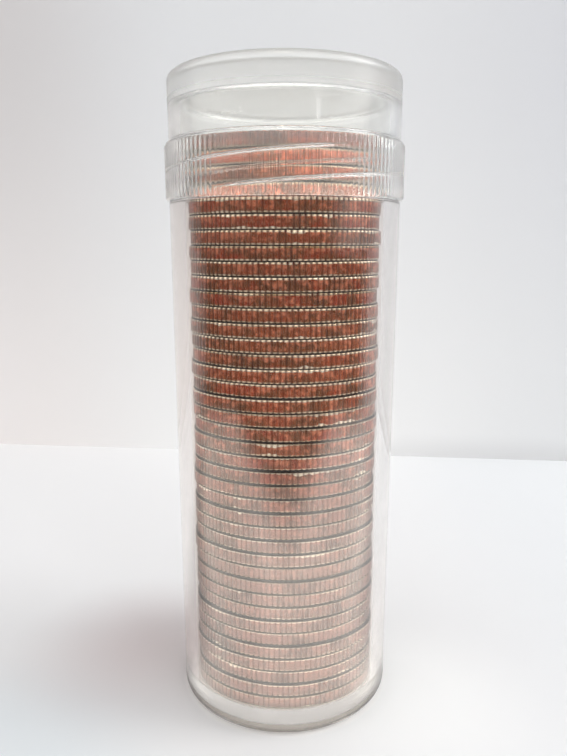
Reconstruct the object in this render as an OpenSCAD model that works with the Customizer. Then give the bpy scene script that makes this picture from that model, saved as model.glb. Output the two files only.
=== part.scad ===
// Round coin tube with a screw cap, full of reeded clad coins.
// The tube stands on its foot ring at z = 0, with its axis on the Z axis.
// The neck and the cap carry a two-start right-hand thread that meshes with clearance.

/* [Coins] */
// Diameter of a coin over its reeds
coin_d = 24.26; // [18:0.01:30]
// Thickness of a coin at its raised rim
coin_t = 1.75; // [1.4:0.01:2.6]
// Number of coins in the full tube
coin_count = 40; // [12:1:50]
// Number of reeds around a coin
reed_count = 119; // [60:1:150]
// Depth of a reed
reed_depth = 0.16; // [0.08:0.01:0.25]
// Plain edge above and below the reeds
reed_margin = 0.2; // [0.16:0.01:0.4]
// Width of a coin's raised rim
coin_rim_w = 1.2; // [0.8:0.1:2]
// Depth of a coin's face below its rim
coin_face_depth = 0.12; // [0.06:0.01:0.14]
// How far off the axis a coin may lie
coin_stray = 0.18; // [0:0.01:0.24]

/* [Tube] */
// Space around a centred coin at the floor of the tube
bore_gap = 0.32; // [0.26:0.01:0.6]
// Growth of the bore's radius from floor to rim
bore_draft = 0.1; // [0:0.01:0.3]
// Wall of the tube at its foot
foot_wall = 1.7; // [1:0.05:2.5]
// Thickness of the floor under the coins
floor_t = 2.9; // [1.2:0.1:4]
// Rounding of the tube's bottom edge
foot_round = 1.2; // [0.3:0.1:1.6]
// Width of the flat ring that the tube stands on
foot_ring_w = 1; // [0.6:0.1:2]
// Depth of the recess under the floor
foot_recess = 0.5; // [0.2:0.1:0.8]

/* [Neck and thread] */
// Height of the neck above the shoulder
neck_h = 6.5; // [5:0.1:9]
// Wall of the neck between its ridges
neck_wall = 0.8; // [0.7:0.05:1.4]
// How far the neck's rim stays below the top coin
neck_below_stack = 0.5; // [0:0.05:1]
// Rise of the thread in one turn
turn_rise = 6.4; // [5:0.1:8]
// Number of thread starts
thread_starts = 2; // [1:1:3]
// Height of a ridge on the neck
ridge_h = 0.5; // [0.35:0.05:0.7]
// Space between the flanks of two meshing ridges
flank_gap = 0.18; // [0.12:0.01:0.4]
// Width that a ridge loses over its height, as a share of that height
flank_share = 0.5; // [0.2:0.1:1]
// Space between a crest and the wall across from it
crest_gap = 0.15; // [0.12:0.01:0.25]
// Where the first ridge starts, counted from the front towards the right
ridge_start_angle = 48; // [0:1:360]

/* [Cap] */
// Free height between the top coin and the cap's plate
headroom = 4.7; // [2:0.1:12]
// How far the ribbed band reaches above the neck's rim
band_over = 0.3; // [0.2:0.1:2]
// Wall of the band behind its ribs
band_wall = 0.75; // [0.6:0.05:1.5]
// Width of the shoulder that the cap's edge lands on
seat_w = 0.35; // [0.2:0.05:0.5]
// Number of ribs around the band
rib_count = 128; // [60:1:150]
// Height of a rib
rib_h = 0.18; // [0.08:0.01:0.3]
// Wall of the smooth upper part
cap_wall = 1.4; // [1.1:0.05:1.5]
// How far the cap's ledge reaches in over the neck's rim
ledge_reach = 0.35; // [0.2:0.05:0.6]
// Space between the neck's rim and the ledge
ledge_gap = 0.2; // [0.1:0.05:0.5]
// Thickness of the top plate
plate_t = 2.2; // [1:0.1:3]
// Height of the raised rim around the top plate
top_rim_h = 1; // [0.4:0.1:1.5]
// Width of the raised rim
top_rim_w = 1.6; // [1.4:0.1:3]
// Rounding of the cap's top edge
top_round = 0.9; // [0.4:0.1:1]

/* [Hidden] */
$fn = 96;
// Small roundings of the mouldings
inner_round = 0.3;
rim_round = 0.2;
seat_round = 0.15;
plate_round = 0.8;
// Slope at the inner edge of a coin's rim, its bevel and the step up to its reeds
coin_rim_slope = 0.15;
coin_bevel = 0.1;
reed_step = 0.03;
// How deep a ridge or the ribs are rooted in the wall that carries them
root_depth = 0.2;
rib_step = 0.04;
// Room between a ridge's end and the end of the threaded wall
ridge_end_room = 0.2;
// Angle over which a ridge fades out, and the share of its size that it ends with
fade_angle = 24;
fade_end_share = 0.2;
// Angle between two cross-sections of a ridge
ridge_step_angle = 6;
// Steps in a quarter round
round_steps = 6;
// Where the front of the tube lies, and how far a coin and its stray turn from one coin to the next
front_angle = -90;
coin_turn_angle = 99;
stray_turn_angle = 137.5;

// Coins
coin_r = coin_d / 2;
reed_root_r = coin_r - reed_depth;
coin_core_r = reed_root_r - reed_step;
coin_face_r = coin_core_r - coin_rim_w;
stack_top = floor_t + coin_count * coin_t;

// Tube
bore_foot_r = coin_r + bore_gap;
bore_rim_r = bore_foot_r + bore_draft;
foot_r = bore_foot_r + foot_wall;
recess_r = foot_r - foot_round - foot_ring_w;
neck_top = stack_top - neck_below_stack;
shoulder_z = neck_top - neck_h;
neck_r = bore_rim_r + neck_wall;
neck_crest_r = neck_r + ridge_h;

// Cap
cap_root_r = neck_crest_r + crest_gap;
cap_crest_r = neck_r + crest_gap;
shoulder_r = cap_root_r + seat_w + seat_round;
band_root_r = cap_root_r + band_wall;
band_r = band_root_r + rib_h;
cap_bore_r = neck_r - ledge_reach;
cap_r = cap_bore_r + cap_wall;
ledge_z = neck_top + ledge_gap;
band_top = neck_top + band_over;
bevel_top = band_top + band_root_r - cap_r;
plate_z = stack_top + headroom;
plate_top = plate_z + plate_t;
cap_top = plate_top + top_rim_h;

// Thread: a ridge's width where it meshes and in the wall that carries it
thread_pitch = turn_rise / thread_starts;
mesh_r = (neck_r + cap_root_r) / 2;
ridge_mesh_w = thread_pitch / 2 - flank_gap;
ridge_w = ridge_mesh_w + flank_share * (mesh_r - neck_r + root_depth);
// Where the middle of a ridge starts and how far it turns
ridge_low_z = shoulder_z + ridge_end_room + ridge_w / 2;
neck_ridge_high_z = neck_top - ridge_end_room - ridge_w / 2;
cap_ridge_high_z = ledge_z - ridge_end_room - ridge_w / 2;
neck_ridge_run = (neck_ridge_high_z - ridge_low_z) * 360 / turn_rise;
cap_ridge_run = (cap_ridge_high_z - ridge_low_z) * 360 / turn_rise;
// The cap's ridges start half a pitch away, so that they lie midway between the neck's
cap_start_angle = ridge_start_angle + 180 / thread_starts;

function coin_name(i) = str("coin_", i < 10 ? "0" : "", i);

// Points on an arc about a centre, from one angle to another
function arc(centre, r, from_angle, to_angle) = [
    for (k = [0:round_steps])
        let (a = from_angle + (to_angle - from_angle) * k / round_steps)
        centre + r * [cos(a), sin(a)]
];

// Outline of a round with count pointed teeth
function toothed(count, crest_r, root_r) = [
    for (k = [0:2 * count - 1])
        let (a = 180 * k / count, r = k % 2 == 0 ? crest_r : root_r)
        r * [cos(a), sin(a)]
];

// Size of a ridge along its run, as a share: it fades in and out over fade_angle
function fade(turned, run) =
    let (full = min(1, turned / fade_angle, (run - turned) / fade_angle))
    fade_end_share + (1 - fade_end_share) * max(0, full);

// One cross-section of a ridge: two points in the wall and two at the crest
function ridge_section(a, z, base_r, crest_r, share) =
    let (
        top_r = base_r + (crest_r - base_r) * share,
        top_w = ridge_w - flank_share * abs(crest_r - base_r),
        outline = [[base_r, -ridge_w / 2], [top_r, -top_w / 2], [top_r, top_w / 2], [base_r, ridge_w / 2]]
    )
    [for (p = outline) [p.x * cos(a), p.x * sin(a), z + p.y * share]];

// One thread ridge, swept up the helix from start_angle over the angle run
module ridge(base_r, crest_r, start_angle, run) {
    steps = ceil(run / ridge_step_angle);
    corner_count = 4;
    points = [
        for (k = [0:steps])
            let (turned = run * k / steps)
            each ridge_section(start_angle + turned, ridge_low_z + turn_rise * turned / 360,
                               base_r, crest_r, fade(turned, run))
    ];
    inward = crest_r < base_r;
    sides = [
        for (k = [0:steps - 1], c = [0:corner_count - 1])
            let (
                low = k * corner_count + c,
                next = k * corner_count + (c + 1) % corner_count,
                high = low + corner_count,
                high_next = next + corner_count
            )
            each inward
                ? [[low, high, next], [next, high, high_next]]
                : [[low, next, high], [next, high_next, high]]
    ];
    last = steps * corner_count;
    ends = inward
        ? [[0, 1, 2], [0, 2, 3], [last, last + 2, last + 1], [last, last + 3, last + 2]]
        : [[0, 2, 1], [0, 3, 2], [last, last + 1, last + 2], [last, last + 2, last + 3]];
    polyhedron(points = points, faces = concat(sides, ends));
}

module ridges(base_r, crest_r, start_angle, run) {
    for (s = [0:thread_starts - 1])
        ridge(base_r, crest_r, front_angle + start_angle + s * 360 / thread_starts, run);
}

// Clear moulded tube: foot ring, drafted wall, shoulder and threaded neck in one piece
module tube() {
    color([0.86, 0.88, 0.87, 0.35])
        union() {
            rotate_extrude()
                polygon(concat(
                    [[0, foot_recess], [recess_r - foot_recess, foot_recess], [recess_r, 0]],
                    arc([foot_r - foot_round, foot_round], foot_round, -90, 0),
                    arc([shoulder_r - seat_round, shoulder_z - seat_round], seat_round, 0, 90),
                    [[neck_r, shoulder_z]],
                    arc([neck_r - rim_round, neck_top - rim_round], rim_round, 0, 90),
                    [[bore_rim_r, neck_top]],
                    arc([bore_foot_r - inner_round, floor_t + inner_round], inner_round, 0, -90),
                    [[0, floor_t]]
                ));
            ridges(neck_r - root_depth, neck_crest_r, ridge_start_angle, neck_ridge_run);
        }
}

// Clear moulded cap: ribbed band with an internal thread, smooth crown and raised rim
module screw_cap() {
    color([0.9, 0.91, 0.9, 0.35])
        union() {
            rotate_extrude()
                polygon(concat(
                    [[0, plate_z]],
                    arc([cap_bore_r - plate_round, plate_z - plate_round], plate_round, 90, 0),
                    [
                        [cap_bore_r, ledge_z],
                        [cap_root_r, ledge_z],
                        [cap_root_r, shoulder_z],
                        [band_root_r - rib_step, shoulder_z],
                        [band_root_r - rib_step, band_top],
                        [cap_r, bevel_top],
                    ],
                    arc([cap_r - top_round, cap_top - top_round], top_round, 0, 90),
                    [[cap_r - top_rim_w + inner_round, cap_top], [cap_r - top_rim_w, plate_top]],
                    [[0, plate_top]]
                ));
            translate([0, 0, shoulder_z])
                linear_extrude(height = band_top - shoulder_z)
                    difference() {
                        polygon(toothed(rib_count, band_r, band_root_r));
                        circle(r = band_root_r - root_depth);
                    }
            ridges(cap_root_r + root_depth, cap_crest_r, cap_start_angle, cap_ridge_run);
        }
}

// Clad coin: round blank with raised rims, and a reeded edge between two plain bevels
module coin(i) {
    stray = i == 1 ? 0 : coin_stray * abs(sin(coin_turn_angle * i));
    stray_angle = stray_turn_angle * i;
    translate([stray * cos(stray_angle), stray * sin(stray_angle), floor_t + (i - 1) * coin_t])
        rotate([0, 0, coin_turn_angle * i])
            color([0.72, 0.47, 0.4])
                union() {
                    rotate_extrude()
                        polygon([
                            [0, coin_face_depth],
                            [coin_face_r - coin_rim_slope, coin_face_depth],
                            [coin_face_r, 0],
                            [coin_core_r - coin_bevel, 0],
                            [coin_core_r, coin_bevel],
                            [coin_core_r, coin_t - coin_bevel],
                            [coin_core_r - coin_bevel, coin_t],
                            [coin_face_r, coin_t],
                            [coin_face_r - coin_rim_slope, coin_t - coin_face_depth],
                            [0, coin_t - coin_face_depth],
                        ]);
                    translate([0, 0, reed_margin])
                        linear_extrude(height = coin_t - 2 * reed_margin)
                            polygon(toothed(reed_count, coin_r, reed_root_r));
                }
}

tube();
screw_cap();
for (i = [1:coin_count])
    coin(i);
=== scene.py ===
import cmath
import math

import bpy
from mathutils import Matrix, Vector


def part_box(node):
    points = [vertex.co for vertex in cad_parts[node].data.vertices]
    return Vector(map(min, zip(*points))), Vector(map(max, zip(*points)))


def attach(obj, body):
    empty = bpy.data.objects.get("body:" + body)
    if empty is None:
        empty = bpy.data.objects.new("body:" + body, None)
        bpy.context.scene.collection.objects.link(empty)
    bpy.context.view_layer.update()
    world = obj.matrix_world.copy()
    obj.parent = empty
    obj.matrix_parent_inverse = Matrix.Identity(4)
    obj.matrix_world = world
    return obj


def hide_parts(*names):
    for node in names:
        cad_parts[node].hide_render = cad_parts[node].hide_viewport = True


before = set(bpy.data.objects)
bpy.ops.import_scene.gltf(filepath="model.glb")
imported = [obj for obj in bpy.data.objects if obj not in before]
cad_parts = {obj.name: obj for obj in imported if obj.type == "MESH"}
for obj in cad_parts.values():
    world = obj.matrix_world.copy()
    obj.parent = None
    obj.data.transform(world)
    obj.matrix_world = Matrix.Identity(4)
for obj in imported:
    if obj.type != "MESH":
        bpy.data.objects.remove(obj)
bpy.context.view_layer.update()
scene = bpy.context.scene
scene.view_settings.view_transform = "Standard"
mm = 0.001

# Camera
# A close view from three quarters of the tube's height: from there the underside of the cap's plate
# shows, and so does the tube's foot from above. Light may cross many clear walls on its way.
photo_h = 756
focal_px = 690
sensor_h = 24
camera_place = (-0.14 * mm, -90.5 * mm, 61.1 * mm)
tilt_down_deg = 11.2
clear_bounces, mirror_bounces = 32, 12
camera_data = bpy.data.cameras.new("camera")
camera_data.sensor_fit = "VERTICAL"
camera_data.sensor_height = sensor_h
camera_data.lens = sensor_h * focal_px / photo_h
camera_data.clip_start = 5 * mm
camera = bpy.data.objects.new("camera", camera_data)
camera.location = camera_place
camera.rotation_euler = (math.radians(90 - tilt_down_deg), 0, 0)
scene.collection.objects.link(camera)
scene.camera = camera
scene.cycles.max_bounces = clear_bounces
scene.cycles.transmission_bounces = clear_bounces
scene.cycles.glossy_bounces = mirror_bounces

# Stage
# A white table top and, close behind the tube, a pale wall that stands slightly askew. The tube mirrors
# sunlight on the table in front of it, which isn't seen straight: that sunlight is a painted glow in the
# table's material. The table's shadow and lit patches and the wall's light and shade are painted too. The
# wall shows its front only, so that it doesn't hide the tube from behind.
class Wire:
    """A socket in a node tree. Python's operators on it add Math nodes, and node() adds any other kind."""

    def __init__(self, tree, socket=None):
        self.tree = tree
        self.socket = socket

    def node(self, kind, settings, sockets, output=0):
        """Adds a node, with its settings first and then the values or links of its sockets."""
        made = self.tree.nodes.new(kind)
        for name, value in settings.items():
            setattr(made, name, value)
        for key, value in sockets.items():
            if isinstance(value, Wire):
                self.tree.links.new(value.socket, made.inputs[key])
            else:
                made.inputs[key].default_value = value
        return Wire(self.tree, made.outputs[output] if made.outputs else None)

    def other(self, output):
        """Another output of the same node."""
        return Wire(self.tree, self.socket.node.outputs[output])

    def math(self, operation, *values):
        return self.node("ShaderNodeMath", {"operation": operation}, dict(enumerate(values)))

    def __add__(self, value):
        return self.math("ADD", self, value)

    def __radd__(self, value):
        return self.math("ADD", value, self)

    def __sub__(self, value):
        return self.math("SUBTRACT", self, value)

    def __rsub__(self, value):
        return self.math("SUBTRACT", value, self)

    def __mul__(self, value):
        return self.math("MULTIPLY", self, value)

    def __rmul__(self, value):
        return self.math("MULTIPLY", value, self)

    def __truediv__(self, value):
        return self.math("DIVIDE", self, value)

    def __mod__(self, value):
        return self.math("FLOORED_MODULO", self, value)

    def __pow__(self, value):
        return self.math("POWER", self, value)

    def __abs__(self):
        return self.math("ABSOLUTE", self)

    def at_least(self, value):
        return self.math("MAXIMUM", self, value)

    def at_most(self, value):
        return self.math("MINIMUM", self, value)

    def ramp(self, low, high, to_low=0.0, to_high=1.0):
        """Runs smoothly from to_low to to_high while this runs from low to high."""
        sockets = {"Value": self, 1: low, 2: high, 3: to_low, 4: to_high}
        return self.node("ShaderNodeMapRange", {"interpolation_type": "SMOOTHSTEP"}, sockets)

    def mix(self, low, high):
        """A colour between low and high, at this factor."""
        return self.node("ShaderNodeMix", {"data_type": "RGBA"}, {0: self, 6: low, 7: high}, 2)

    def xyz(self):
        """The three numbers of this vector."""
        split = self.node("ShaderNodeSeparateXYZ", {}, {0: self})
        return [split.other(axis) for axis in "XYZ"]

    def vector(self, x=0.0, y=0.0, z=0.0):
        """A vector of three numbers or wires."""
        return self.node("ShaderNodeCombineXYZ", {}, {"X": x, "Y": y, "Z": z})


def new_material(name):
    """A material with an empty tree, and a wire to add its nodes with."""
    material = bpy.data.materials.new(name)
    material.use_nodes = True
    material.node_tree.nodes.clear()
    return material, Wire(material.node_tree)


def finish_material(pen, shader):
    pen.node("ShaderNodeOutputMaterial", {}, {"Surface": shader})


def ways_to_see(pen):
    """Shares of what is seen straight, also through clear plastic, and of what is seen mirrored.

    Of the mirrored share, on_face is mirrored by the plastic's outer face, on_wall by either face of its
    outer wall, and deep by the coins behind the cap's band. The number of faces that light has crossed
    tells these apart. Light that falls on matt things is in no share.
    """
    path = pen.node("ShaderNodeLightPath", {}, {})
    crossed = path.other("Transmission Depth")
    for_matt = path.other("Diffuse Depth").at_most(1)
    by_gloss = path.other("Glossy Depth").at_most(1)
    mirrored = by_gloss * (1 - for_matt)
    most_in_outer_wall, most_below_band = 2, 6
    return {
        "straight": (1 - mirrored) * (1 - for_matt),
        "mirrored": mirrored,
        "on_face": mirrored * (1 - crossed.at_most(1)),
        "on_wall": mirrored * (1 - (crossed - most_in_outer_wall).at_least(0).at_most(1)),
        "deep": mirrored * (crossed - most_below_band).at_least(0).at_most(1),
    }


def matt(pen, colour):
    return pen.node("ShaderNodeBsdfDiffuse", {}, {"Color": colour})


def shining(pen, colour, strength):
    """Light of a colour, as strong as a wire says."""
    scaled = pen.node("ShaderNodeVectorMath", {"operation": "SCALE"}, {0: colour, "Scale": strength})
    return pen.node("ShaderNodeEmission", {}, {"Color": scaled})


def distance(pen, x, y):
    """How far (x, y) is from (0, 0)."""
    return pen.math("SQRT", x * x + y * y)


def stage_plane(name, corners, material):
    mesh = bpy.data.meshes.new(name)
    mesh.from_pydata(corners, [], [(0, 1, 2, 3)])
    mesh.materials.append(material)
    plane = bpy.data.objects.new(name, mesh)
    scene.collection.objects.link(plane)


table_grey, table_shade_right = (0.875, 0.88, 0.89, 1), (0.81, 0.83, 0.85, 1)
table_shade_left_front, table_in_shadow = (0.785, 0.83, 0.86, 1), (0.71, 0.655, 0.66, 1)
table_lit, table_shade_past_sun = (0.97, 0.98, 0.98, 1), (0.10, 0.09, 0.08, 1)
sun_colour = (1.0, 0.955, 0.87)
sun_from, sun_to, sun_to_ahead = 16 * mm, 160 * mm, 80 * mm
sun_edge_blur = 38 * mm
sun_on_face, sun_inside = 4.4, 0.5
patch_r = 24 * mm
shadow_across, shadow_ahead = -21 * mm, -6 * mm
lit_across, lit_ahead = 15 * mm, 6 * mm
foot_glow_r, foot_glow_blur, foot_glow = 14.7 * mm, 1.8 * mm, 0.24


def sun_on_table(pen, across, ahead, away):
    """How much painted sunlight the table shows, and how well it lies within the painted sun's far edge,
    both from 0 to 1.
    """
    slant = abs(across) / ahead.at_least(1 * mm)
    far_edge = slant.ramp(0.0, 1.3, sun_to_ahead, sun_to)
    short_of_edge = (far_edge - away).ramp(-sun_edge_blur, sun_edge_blur)
    widens = away.ramp(22 * mm, 75 * mm)
    in_front = (ahead / away).ramp(0.03 - widens * 0.18, 0.63 - widens * 0.43)
    sideways = across / away
    less_right = sideways.ramp(0.1, 0.7) * away.ramp(40 * mm, 90 * mm, 0.05, 0.3)
    less_left = sideways.ramp(-0.2, -0.5) * 0.23
    clear_of_foot = (away - sun_from).ramp(-1 * mm, 1 * mm)
    sunny = clear_of_foot * short_of_edge * in_front * (1 - less_right - less_left)
    return sunny, short_of_edge


def white_table():
    """White, with a painted soft shadow of the tube at the left, a painted lighter patch at the right
    front, painted shade at the left front and at the right, and a painted glow of sunlight.
    """
    material, pen = new_material("table_white")
    across, back, _ = pen.node("ShaderNodeNewGeometry", {}, {}, "Position").xyz()
    ahead = -1 * back
    away = distance(pen, across, ahead)
    sunny, short_of_edge = sun_on_table(pen, across, ahead, away)
    seen = ways_to_see(pen)
    # Painted shadow of the tube on the table, at its left.
    in_shadow = 1 - distance(pen, across - shadow_across, ahead - shadow_ahead).ramp(0, patch_r)
    # Painted light: a lighter patch on the table at the tube's right front.
    in_light = 1 - distance(pen, across - lit_across, ahead - lit_ahead).ramp(0, patch_r)
    # Painted shade: the table turns darker and bluer towards its left front.
    left_front = (-1 * across).ramp(8 * mm, 30 * mm) * ahead.ramp(-6 * mm, 12 * mm)
    # Painted shade: the table greys towards the right.
    white = across.ramp(15 * mm, 60 * mm).mix(table_grey, table_shade_right)
    white = left_front.mix(white, table_shade_left_front)
    white = in_shadow.mix(white, table_in_shadow)
    white = in_light.mix(white, table_lit)
    # Painted shade, seen only in mirrors: the table is nearly black past the painted sun's far edge in
    # front, and far to the left.
    far_left = (-1 * across).ramp(15 * mm, 80 * mm) * (ahead + 40 * mm).ramp(0, 40 * mm) * 0.8
    shade_past_sun = seen["on_wall"] * ((1 - short_of_edge) * ahead.ramp(0, 30 * mm)).at_least(far_left)
    # Painted light: the sunlit table is a glow in the table's own material, which only mirrored rays see.
    mirrored_sun = seen["on_face"] * sun_on_face + (seen["mirrored"] - seen["on_wall"]) * sun_inside
    nearby = away.ramp(20 * mm, 60 * mm, 0.82, 1)
    # Painted light: a faint glow on the table under and just round the tube's foot.
    under_foot = (foot_glow_r - away).ramp(0, foot_glow_blur)
    glow = sunny * mirrored_sun * nearby + under_foot * foot_glow
    finish_material(pen, pen.node("ShaderNodeAddShader", {}, {
        0: matt(pen, shade_past_sun.mix(white, table_shade_past_sun)), 1: shining(pen, sun_colour, glow)}))
    return material


wall_low_left, wall_low_right = (0.90, 0.87, 0.86, 1), (0.80, 0.81, 0.82, 1)
wall_high_left, wall_high_right = (0.67, 0.65, 0.65, 1), (0.67, 0.68, 0.71, 1)
wall_low_by_tube, wall_high_by_tube = (0.93, 0.935, 0.935, 1), (0.77, 0.78, 0.795, 1)
wall_shaded_right_foot, black, veil_glow_colour = (0.64, 0.64, 0.65, 1), (0, 0, 0, 1), (1, 1, 0.98)


def pale_wall():
    """Off-white, with painted shade upwards and at its foot on the right, and painted light behind the
    tube.
    Seen through clear plastic it is painted darker, and through the cap a painted hazy glow lies on it.
    """
    material, pen = new_material("wall_pale")
    across, _, height = pen.node("ShaderNodeNewGeometry", {}, {}, "Position").xyz()
    # Painted light and shade: the wall darkens upwards, changes tone from left to right, and is lighter
    # behind the tube.
    to_right = across.ramp(-80 * mm, 80 * mm)
    by_tube = across.ramp(-80 * mm, -22 * mm) * across.ramp(85 * mm, 15 * mm)
    low = by_tube.mix(to_right.mix(wall_low_left, wall_low_right), wall_low_by_tube)
    high = by_tube.mix(to_right.mix(wall_high_left, wall_high_right), wall_high_by_tube)
    white = height.ramp(0, 125 * mm).mix(low, high)
    # Painted shade at the wall's foot towards the right.
    shade_at_right_foot = height.ramp(8 * mm, 0) * to_right.ramp(0.5, 1) * 0.5
    white = shade_at_right_foot.mix(white, wall_shaded_right_foot)
    # Painted shade: seen through clear plastic, the wall is a little darker, more so higher up.
    through_clear = pen.node("ShaderNodeLightPath", {}, {}).other("Transmission Depth").at_most(1)
    shade_through_clear = through_clear * height.ramp(40 * mm, 92 * mm, 0.03, 0.08)
    # Painted light: seen through the cap's crown, the wall glows, which stands in for a hazy veil on the
    # crown.
    veil_glow = through_clear * height.ramp(91 * mm, 101 * mm) * 0.2
    front = pen.node("ShaderNodeAddShader", {}, {
        0: matt(pen, shade_through_clear.mix(white, black)), 1: shining(pen, veil_glow_colour, veil_glow)})
    from_behind = pen.node("ShaderNodeNewGeometry", {}, {}, "Backfacing")
    unseen = pen.node("ShaderNodeBsdfTransparent", {}, {})
    finish_material(pen, pen.node("ShaderNodeMixShader", {}, {0: from_behind, 1: front, 2: unseen}))
    return material


reach = 3.0
table_z = -0.02 * mm
wall_y = 105 * mm
wall_skew = reach * math.tan(math.radians(5.8))
stage_plane("floor", [(-reach, -reach, table_z), (reach, -reach, table_z),
                      (reach, reach, table_z), (-reach, reach, table_z)], white_table())
stage_plane("wall", [(-reach, wall_y + wall_skew, table_z), (reach, wall_y - wall_skew, table_z),
                     (reach, wall_y - wall_skew, reach), (-reach, wall_y + wall_skew, reach)], pale_wall())

# Light
# A bright room: a pale ceiling, a lighter side towards the window on the right, and a dimmer side in
# front of the tube. The window, a strip of sky beside it and a lamp are soft area lights.
level_glow, top_glow = (0.79, 0.79, 0.80, 1), (0.94, 0.94, 0.95, 1)
room_left, room_right, room_front = (0.6, 0.57, 0.54, 1), (1.05, 1.04, 1.02, 1), (0.44, 0.41, 0.37, 1)
room_ceiling, room_dim = (2.3, 2.27, 2.2, 1), (0.12, 0.11, 0.10, 1)
behind_band, past_wall = (3.1, 3.0, 2.9, 1), (0.70, 0.70, 0.715, 1)
world = bpy.data.worlds.new("room")
scene.world = world
world.use_nodes = True
world.node_tree.nodes.clear()
pen = Wire(world.node_tree)
rightward, backward, upward = pen.node("ShaderNodeTexCoord", {}, {}, "Generated").xyz()
ambient = upward.ramp(0.1, 0.9).mix(level_glow, top_glow)
in_front = (-1 * backward).ramp(0.4, 0.9)
at_left = (-1 * rightward).ramp(0.1, 0.9)
sides = in_front.mix(rightward.ramp(-0.9, 0.3).mix(room_left, room_right), room_front)
room = upward.ramp(0.04, 0.3).mix(sides, room_ceiling)
seen = ways_to_see(pen)
low_and_dim = in_front.at_least(at_left * 0.85) * upward.ramp(0.2, 0.05)
mirrored_room = (low_and_dim * seen["on_wall"]).mix(room, room_dim)
mirrored_room = seen["deep"].mix(mirrored_room, behind_band)
shown = seen["straight"].mix(seen["mirrored"].mix(ambient, mirrored_room), past_wall)
pen.node("ShaderNodeOutputWorld", {}, {"Surface": pen.node("ShaderNodeBackground", {}, {"Color": shown})})


def soft_light(name, place, width, height, radiance, colour):
    """A rectangle that shines at the middle of the tube. Its radiance is 1 where it looks plain white."""
    tube_middle = Vector((0, 0, 40 * mm))
    data = bpy.data.lights.new(name, "AREA")
    data.shape = "RECTANGLE"
    data.size = width
    data.size_y = height
    data.energy = radiance * math.pi * width * height
    data.color = colour
    lamp = bpy.data.objects.new(name, data)
    lamp.location = place
    lamp.rotation_euler = (tube_middle - Vector(place)).to_track_quat("-Z", "Y").to_euler()
    lamp.visible_camera = False
    scene.collection.objects.link(lamp)


soft_light("window", (430 * mm, 0, 330 * mm), 320 * mm, 300 * mm, 4.3, (1.0, 0.995, 0.98))
soft_light("sky_strip", (210 * mm, -350 * mm, 330 * mm), 30 * mm, 420 * mm, 2.5, (1.0, 1.0, 1.0))
soft_light("ceiling_lamp", (-12 * mm, -260 * mm, 420 * mm), 50 * mm, 50 * mm, 30.0, (1.0, 0.86, 0.68))

# Tube
# Clear polystyrene, moulded in one piece: a foot ring round a shallow recess, a drafted wall,
# a shoulder that the cap lands on, and a neck with a two-start thread.
def node_size(node):
    """A node's half width, foot and top, in millimetres, to the hundredth that its solid was drawn in."""
    low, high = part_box(node)
    return [round(measure / mm, 2) for measure in (high.x, low.z, high.z)]


def round_corner(before, corner, after, rounding):
    """An arc for a corner, and a support point at each of its ends, which keeps the walls' shading flat.

    Points are complex numbers here: the radius is the real part, and the height the imaginary one.
    """
    arc_steps = 6
    support = 0.06
    to_before = (before - corner) / abs(before - corner)
    to_after = (after - corner) / abs(after - corner)
    half_turn = math.acos((to_before * to_after.conjugate()).real) / 2
    start = corner + to_before * rounding / math.tan(half_turn)
    end = corner + to_after * rounding / math.tan(half_turn)
    inwards = (to_before + to_after) / abs(to_before + to_after)
    centre = corner + inwards * rounding / math.sin(half_turn)
    sweep = cmath.phase((end - centre) / (start - centre))
    arc = [centre + (start - centre) * cmath.exp(1j * sweep * step / arc_steps)
           for step in range(arc_steps + 1)]
    return [start + to_before * support, *arc, end + to_after * support]


def stretch_rows(start, end, rows):
    """Even points along a straight stretch that carries a thread or ribs, clear of its rounded ends."""
    margin = 0.35 * (end - start) / abs(end - start)
    first, last = start + margin, end - margin
    return [first + (last - first) * row / rows for row in range(rows + 1)]


def outline(corners):
    """Points (r, z, relief) along an outline of corners (r, z, rounding, rows, relief), in millimetres.

    Rows and relief hold for the stretch that follows the corner: relief 1 is threaded and 2 is ribbed.
    """
    places = [complex(r, z) for r, z, rounding, rows, relief in corners]
    points = []
    for k, (_, _, rounding, rows, relief) in enumerate(corners):
        smooth = round_corner(*places[k - 1:k + 2], rounding) if rounding else [places[k]]
        worked = stretch_rows(*places[k:k + 2], rows) if rows else []
        points += [(place.real, place.imag, 0) for place in smooth]
        points += [(place.real, place.imag, relief) for place in worked]
    return points


def new_tree(name, inputs):
    """A geometry tree with named inputs. Returns it with a wire for each input."""
    tree = bpy.data.node_groups.new(name, "GeometryNodeTree")
    tree.interface.new_socket("Outline", in_out="INPUT", socket_type="NodeSocketGeometry")
    for label, kind in inputs.items():
        tree.interface.new_socket(label, in_out="INPUT", socket_type="NodeSocket" + kind)
    tree.interface.new_socket("Piece", in_out="OUTPUT", socket_type="NodeSocketGeometry")
    pen = Wire(tree)
    source = pen.node("NodeGroupInput", {}, {})
    return pen, {label: source.other(label) for label in ("Outline", *inputs)}


def lathe(pen, points, columns):
    """The grid that becomes the piece, and the angle, r, z and relief at each of its points."""
    rows = pen.node("GeometryNodeAttributeDomainSize", {}, {"Geometry": points}, "Point Count")
    grid = pen.node("GeometryNodeMeshGrid", {}, {"Vertices X": columns + 1, "Vertices Y": rows})
    index = pen.node("GeometryNodeInputIndex", {}, {})
    row = index % rows
    column = pen.math("FLOOR", (index + 0.5) / rows)
    place = pen.node("GeometryNodeInputPosition", {}, {})
    r, _, z = pen.node("GeometryNodeSampleIndex", {"data_type": "FLOAT_VECTOR"},
                       {"Geometry": points, "Value": place, "Index": row}).xyz()
    named = pen.node("GeometryNodeInputNamedAttribute", {"data_type": "FLOAT"}, {"Name": "relief"})
    relief = pen.node("GeometryNodeSampleIndex", {"data_type": "FLOAT"},
                      {"Geometry": points, "Value": named, "Index": row})
    return grid, column / columns * math.tau, r, z, relief


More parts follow.
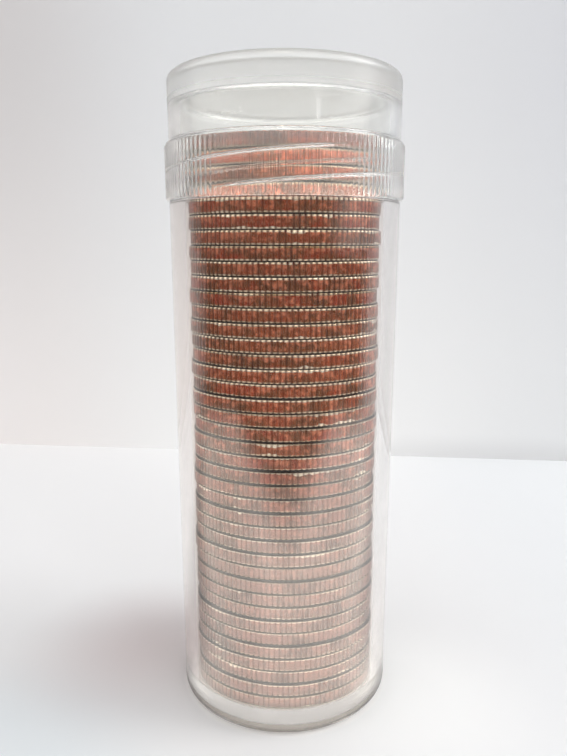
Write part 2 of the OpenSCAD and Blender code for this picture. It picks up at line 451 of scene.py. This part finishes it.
def turned_piece(pen, grid, angle, r, z):
    """Rolls the grid round the axis and closes its seam and poles."""
    place = pen.vector(r * pen.math("COSINE", angle), r * pen.math("SINE", angle), z)
    rolled = pen.node("GeometryNodeSetPosition", {}, {"Geometry": grid, "Position": place})
    closed = pen.node("GeometryNodeMergeByDistance", {}, {"Geometry": rolled, "Distance": 0.0005 * mm})
    return pen.node("GeometryNodeSetShadeSmooth", {}, {0: closed})


def end_tree(pen, geometry, material):
    real = pen.node("GeometryNodeRealizeInstances", {}, {0: geometry})
    dressed = pen.node("GeometryNodeSetMaterial", {}, {"Geometry": real, "Material": material})
    pen.node("NodeGroupOutput", {}, {0: dressed})


def thread(pen, angle, z, sizes):
    """Height of a two-start thread's ridges over the wall that carries them, at an angle and a height."""
    ridges = []
    for start_angle in (0, math.pi):
        turned = (angle - sizes["Start Angle"] - start_angle) % math.tau
        full = (turned.at_most(sizes["Run"] - turned) / sizes["Fade"]).at_least(0).at_most(1)
        off = abs(z - sizes["Start Height"] - sizes["Lead"] * turned / math.tau)
        flank = (sizes["Ridge Width"] * full / 2 - off) / sizes["Flank"]
        ridges.append(flank.ramp(0, 1) * sizes["Ridge Height"] * full)
    return ridges[0].at_least(ridges[1])


def built(name, points, pen, values):
    """The plain mesh that a tree makes from an outline, as a finished object."""
    mesh = bpy.data.meshes.new(name)
    mesh.from_pydata([(r * mm, 0, z * mm) for r, z, relief in points],
                     [(k, k + 1) for k in range(len(points) - 1)], [])
    attribute = mesh.attributes.new("relief", "FLOAT", "POINT")
    attribute.data.foreach_set("value", [relief for r, z, relief in points])
    piece = bpy.data.objects.new(name, mesh)
    scene.collection.objects.link(piece)
    modifier = piece.modifiers.new("build", "NODES")
    modifier.node_group = pen.tree
    for item in pen.tree.interface.items_tree:
        if item.in_out == "INPUT" and item.name in values:
            modifier[item.identifier] = values[item.name]
    depsgraph = bpy.context.evaluated_depsgraph_get()
    finished = bpy.data.meshes.new_from_object(piece.evaluated_get(depsgraph), depsgraph=depsgraph)
    piece.modifiers.clear()
    piece.data = finished
    return piece


def noise(pen, place, seed, scale, detail, roughness=0.5):
    """Clouds from 0 to 1, which differ from seed to seed."""
    return pen.node("ShaderNodeTexNoise", {"noise_dimensions": "4D"},
                    {"Vector": place, "W": seed, "Scale": scale, "Detail": detail, "Roughness": roughness})


def clear_plastic(name, colour, seed, haze, glossy_z, satin_z, satin):
    """Clear polystyrene with faint moulding waves and fine scuffs, and a satin finish past a height."""
    polished, scuffed = 0.02, 0.12
    wave_h, wave_stretch = 0.2 * mm, 0.08
    material, pen = new_material(name)
    place = pen.node("ShaderNodeTexCoord", {}, {}, "Object")
    _, _, height = place.xyz()
    scuffs = noise(pen, place, seed, 900.0, 4.0, 0.6).ramp(0.5, 0.75)
    patches = noise(pen, place, seed, 140.0, 3.0).ramp(0.45, 0.7)
    rough = polished + scuffs * patches * scuffed + height.ramp(glossy_z, satin_z) * satin
    stretched = pen.node("ShaderNodeMapping", {}, {"Vector": place, "Scale": (1, 1, wave_stretch)})
    waves = noise(pen, stretched, seed + 4, 260.0, 1.0)
    bump = pen.node("ShaderNodeBump", {}, {"Strength": 0.05, "Distance": wave_h, "Height": waves})
    finish_material(pen, pen.node("ShaderNodeBsdfPrincipled", {}, {
        "Base Color": colour, "Roughness": rough, "IOR": 1.55, "Transmission Weight": 1 - haze,
        "Normal": bump}))
    return material


tube_plastic = clear_plastic("tube_polystyrene", (0.925, 0.887, 0.858, 1), seed=1.0, haze=0.012,
                             glossy_z=3.5 * mm, satin_z=2.5 * mm, satin=0.2)
coin_r, floor_z, coin_top = node_size("coin_01")
shoulder_r, foot_z, neck_top = node_size("tube")
cap_out_r, shoulder_z, cap_top = node_size("screw_cap")
wall_draft, bore_draft = 0.35, 0.1
bore_gap, neck_wall = 0.32, 0.8
foot_round, foot_ring_w, recess_h = 1.2, 1.0, 0.5
thread_rows = 90
foot_r = shoulder_r - wall_draft
ring_in_r = foot_r - foot_round - foot_ring_w
bore_foot_r = coin_r + bore_gap
bore_rim_r = bore_foot_r + bore_draft
neck_r = bore_rim_r + neck_wall
tube_outline = outline([
    (0, recess_h, 0, 0, 0),
    (ring_in_r - recess_h, recess_h, 0.2, 0, 0),
    (ring_in_r, foot_z, 0.2, 0, 0),
    (foot_r, foot_z, foot_round, 0, 0),
    (shoulder_r, shoulder_z, 0.15, 0, 0),
    (neck_r, shoulder_z, 0.1, thread_rows, 1),
    (neck_r, neck_top, 0.2, 0, 0),
    (bore_rim_r, neck_top, 0.2, 0, 0),
    (bore_foot_r, floor_z, 0.3, 0, 0),
    (0, floor_z, 0, 0, 0),
])
thread_inputs = {"Columns": "Int", "Start Angle": "Float", "Run": "Float", "Fade": "Float",
                 "Start Height": "Float", "Lead": "Float", "Ridge Width": "Float", "Flank": "Float",
                 "Ridge Height": "Float"}
pen, given = new_tree("tube_build", thread_inputs)
grid, angle, r, z, relief = lathe(pen, given["Outline"], given["Columns"])
ridges = thread(pen, angle, z, given)
end_tree(pen, turned_piece(pen, grid, angle, r + relief * ridges, z), tube_plastic)
neck_start = math.radians(-90 + 48)
neck_thread = {"Columns": 384, "Start Angle": neck_start, "Run": math.radians(248.5),
               "Fade": math.radians(24), "Start Height": 66.94 * mm, "Lead": 6.4 * mm,
               "Ridge Width": 0.4 * mm, "Flank": 0.2 * mm, "Ridge Height": 0.25 * mm}
tube = built("tube_clear", tube_outline, pen, neck_thread)
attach(tube, "tube")
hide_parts("tube")

# Coins
# Forty clad coins: a copper core between two cupronickel faces, with a raised rim and a reeded edge.
# The stack isn't quite straight, the blanking has smeared the nickel over the copper here and there,
# and each coin has its own wear. The lower half of the stack is painted greyer, a painted reflection of
# the pale table in front; painted shade and highlights also lie in the grooves, gaps and nickel strips.
red_copper, brown_copper = (0.43, 0.07, 0.027, 1), (0.39, 0.11, 0.043, 1)
dull_copper, worn_copper = (0.25, 0.095, 0.038, 1), (0.7, 0.25, 0.14, 1)
copper_under_painted_veil = (0.37, 0.31, 0.29, 1)
face_nickel = (0.60, 0.58, 0.54, 1)
dark_nickel, bright_nickel = (0.27, 0.19, 0.10, 1), (0.95, 0.88, 0.72, 1)
groove_dirt_and_shade, gap_shade_colour = (0.085, 0.022, 0.010, 1), (0.04, 0.018, 0.008, 1)


def clad_metal():
    """Copper with a nickel strip along either face. Level runs from 0 to 1 through the coin's thickness."""
    material, pen = new_material("clad_coin")
    named = "ShaderNodeAttribute"
    level = pen.node(named, {"attribute_name": "level"}, {}, "Fac")
    groove = pen.node(named, {"attribute_name": "groove"}, {}, "Fac")
    near_edge = pen.node(named, {"attribute_name": "near_edge"}, {}, "Fac")
    chance, other_chance, up_stack = pen.node(named, {"attribute_name": "look"}, {}, "Vector").xyz()
    place = pen.node("ShaderNodeTexCoord", {}, {}, "Object")
    own = chance * 40
    fine = noise(pen, place, own, 1500.0, 2.0)
    smear = noise(pen, place, own + 50, 230.0, 3.0, 0.6)
    stain = noise(pen, place, own + 100, 330.0, 3.0, 0.6)
    to_face = level.at_most(1 - level)
    upper = (level - 0.5).ramp(-0.01, 0.01)

    silvered = smear.ramp(0.57, 0.74) * 0.2
    strip = 0.15 + upper * 0.02 + (fine - 0.5) * 0.12 + silvered
    is_nickel = (strip - to_face).ramp(-0.012, 0.012)
    copper = ((chance * 7.3) % 1).mix(red_copper, brown_copper)
    copper = stain.ramp(0.4, 0.6).mix(copper, dull_copper)
    copper = (fine + (level - 0.5) * 0.25).ramp(0.45, 0.68).mix(copper, worn_copper)
    # Painted reflection: lower in the stack the copper is mixed towards grey, as if the pale table in front
    # were mirrored over it.
    copper = (up_stack.ramp(0.6, 0.3) * 0.6).mix(copper, copper_under_painted_veil)
    # Cleanness of the nickel, and a painted highlight: the strip along a coin's upper face can be much
    # brighter than the one along its lower face.
    clean_and_top_lit = upper * (0.25 + chance * 0.8) + (1 - upper) * (0.3 + other_chance * 0.4)
    clean_and_top_lit = (clean_and_top_lit + silvered * 2 + (smear - 0.5) * 1.5).at_least(0).at_most(1)
    nickel = near_edge.mix(face_nickel, clean_and_top_lit.mix(dark_nickel, bright_nickel))
    metal = is_nickel.mix(copper, nickel)

    # Dirt and painted shade in the reeds' grooves: they are darker, and more so higher up the stack.
    in_groove = groove.ramp(0.1, 0.95) * up_stack.ramp(0.45, 0.75, 0.4, 0.6)
    # Painted shade: a dark band along each face's outer edge, where the coins meet, wider lower in the
    # stack.
    gap_h = up_stack.ramp(0.4, 0.7, 0.1, 0.046)
    in_gap = (gap_h - to_face).ramp(-0.009, 0.009) * near_edge.ramp(0.2, 0.5)
    dirt_and_shade = (in_groove * (1 + is_nickel * 0.4) + stain.ramp(0.5, 0.72) * 0.4).at_most(1)
    colour = in_gap.mix(dirt_and_shade.mix(metal, groove_dirt_and_shade), gap_shade_colour)
    rough = 0.15 + stain.ramp(0.3, 0.7) * 0.12 + in_groove * 0.25 + in_gap * 0.6
    finish_material(pen, pen.node("ShaderNodeBsdfPrincipled", {}, {
        "Base Color": colour, "Metallic": 1 - dirt_and_shade * 0.2, "Roughness": rough.at_most(0.8)}))
    return material


coin_t = coin_top - floor_z
coin_count = 40
reeds, reed_depth, columns_per_reed = 119, 0.16, 4
field_depth = 0.12
edge_w, edge_h, edge_steps = 0.32, 0.2, 6
rim_to_field = [(2.83, field_depth), (1.93, field_depth), (1.63, 0.1), (1.41, 0.03), (1.27, 0), (0.93, 0),
                (edge_w + 0.1, 0)]
coin_outline = [(0, field_depth, 0)] + [(coin_r - inwards, z, 0) for inwards, z in rim_to_field]
for step in range(edge_steps + 1):
    a = math.radians(90 * step / edge_steps)
    coin_outline.append((coin_r - edge_w + edge_w * math.sin(a), edge_h - edge_h * math.cos(a),
                         min(1, 1.2 * math.sin(a) ** 2)))
coin_outline.append((coin_r, 0.5, 1))
coin_outline.append((coin_r, coin_t / 2, 1))
coin_outline += [(r, coin_t - z, relief) for r, z, relief in reversed(coin_outline[:-1])]

pen, given = new_tree("coin_build", {
    "Columns": "Int", "Reeds": "Float", "Reed Depth": "Float", "Number": "Int", "Coins": "Int",
    "Lift": "Float", "Turn": "Float", "Off X": "Float", "Off Y": "Float",
    "Thickness": "Float", "Radius": "Float"})
grid, angle, r, z, relief = lathe(pen, given["Outline"], given["Columns"])
dip = (0.5 - 0.5 * pen.math("COSINE", angle * given["Reeds"])) ** 1.4 * relief
chance, other_chance, _ = pen.node("FunctionNodeRandomValue", {"data_type": "FLOAT_VECTOR"},
                                   {"ID": given["Number"], "Seed": 7}).xyz()
marked = grid
for name, kind, value in (("groove", "FLOAT", dip),
                          ("level", "FLOAT", z / given["Thickness"]),
                          ("near_edge", "FLOAT", (r - given["Radius"]).ramp(-0.9 * mm, -0.5 * mm)),
                          ("look", "FLOAT_VECTOR",
                           pen.vector(chance, other_chance, given["Number"] / given["Coins"]))):
    marked = pen.node("GeometryNodeStoreNamedAttribute", {"data_type": kind, "domain": "POINT"},
                      {"Geometry": marked, "Name": name, "Value": value})
coin_mesh = turned_piece(pen, marked, angle, r - dip * given["Reed Depth"], z)
lying = pen.node("GeometryNodeTransform", {}, {
    "Geometry": coin_mesh, "Rotation": pen.vector(z=given["Turn"]),
    "Translation": pen.vector(given["Off X"], given["Off Y"], given["Lift"])})
end_tree(pen, lying, clad_metal())

turn_each, stray_turn, most_stray = math.radians(99), math.radians(137.5), 0.18
for i in range(1, coin_count + 1):
    stray = 0 if i == 1 else most_stray * abs(math.sin(turn_each * i))
    coin = built(f"coin_{i:02d}_reeded", coin_outline, pen, {
        "Columns": reeds * columns_per_reed, "Reeds": reeds, "Reed Depth": reed_depth * mm,
        "Number": i, "Coins": coin_count, "Lift": (floor_z + (i - 1) * coin_t) * mm, "Turn": turn_each * i,
        "Off X": stray * math.cos(stray_turn * i) * mm, "Off Y": stray * math.sin(stray_turn * i) * mm,
        "Thickness": coin_t * mm, "Radius": coin_r * mm})
    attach(coin, "bottom_coin" if i == 1 else "coin_stack")
    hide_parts(f"coin_{i:02d}")

# Cap
# Clear polystyrene, moulded in one piece: a ribbed band with the thread inside, a ledge over the neck,
# a smooth crown, and a thick top plate with a raised rim. It screws down onto the tube's shoulder.
cap_plastic = clear_plastic("cap_polystyrene", (0.985, 0.985, 0.965, 1), seed=9.0, haze=0.05,
                            glossy_z=73.5 * mm, satin_z=79 * mm, satin=0.28)
rib_room, rib_rows, band_wall = 0.18, 4, 0.75
ledge_w, crown_wall = 0.35, 1.4
seat_gap, ledge_gap, band_over = 0.05, 0.2, 0.3
top_rim_w, top_rim_h, plate_t = 1.6, 1.0, 2.2
band_r = cap_out_r - rib_room
root_r = band_r - band_wall
crown_in_r = neck_r - ledge_w
crown_r = crown_in_r + crown_wall
band_foot = shoulder_z + seat_gap
band_top = neck_top + band_over
ledge_z = neck_top + ledge_gap
plate_top = cap_top - top_rim_h
plate_z = plate_top - plate_t
cap_outline = outline([
    (0, plate_z, 0, 0, 0),
    (crown_in_r, plate_z, 0.8, 0, 0),
    (crown_in_r, ledge_z, 0.15, 0, 0),
    (root_r, ledge_z, 0.1, thread_rows, 1),
    (root_r, band_foot, 0.1, 0, 0),
    (band_r, band_foot, 0.12, rib_rows, 2),
    (band_r, band_top, 0.3, 0, 0),
    (crown_r, band_top + band_r - crown_r, 0.1, 0, 0),
    (crown_r, cap_top, 0.9, 0, 0),
    (crown_r - top_rim_w, cap_top, 0.3, 0, 0),
    (crown_r - top_rim_w, plate_top, 0.3, 0, 0),
    (0, plate_top, 0, 0, 0),
])
pen, given = new_tree("cap_build", {**thread_inputs, "Ribs": "Float", "Rib Height": "Float"})
grid, angle, r, z, relief = lathe(pen, given["Outline"], given["Columns"])
ridges = thread(pen, angle, z, given) * relief * (2 - relief).at_most(1)
on_band = (relief - 1).at_least(0)
ribs = on_band * (0.5 + 0.5 * pen.math("COSINE", angle * given["Ribs"])) * given["Rib Height"]
end_tree(pen, turned_piece(pen, grid, angle, r - ridges + ribs, z), cap_plastic)
midway_between_starts = math.radians(90)
cap = built("cap_clear", cap_outline, pen, {
    **neck_thread, "Columns": 512, "Start Angle": neck_start + midway_between_starts,
    "Run": math.radians(259.7), "Ridge Height": 0.3 * mm, "Ribs": 128, "Rib Height": 0.16 * mm})
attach(cap, "cap")
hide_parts("screw_cap")
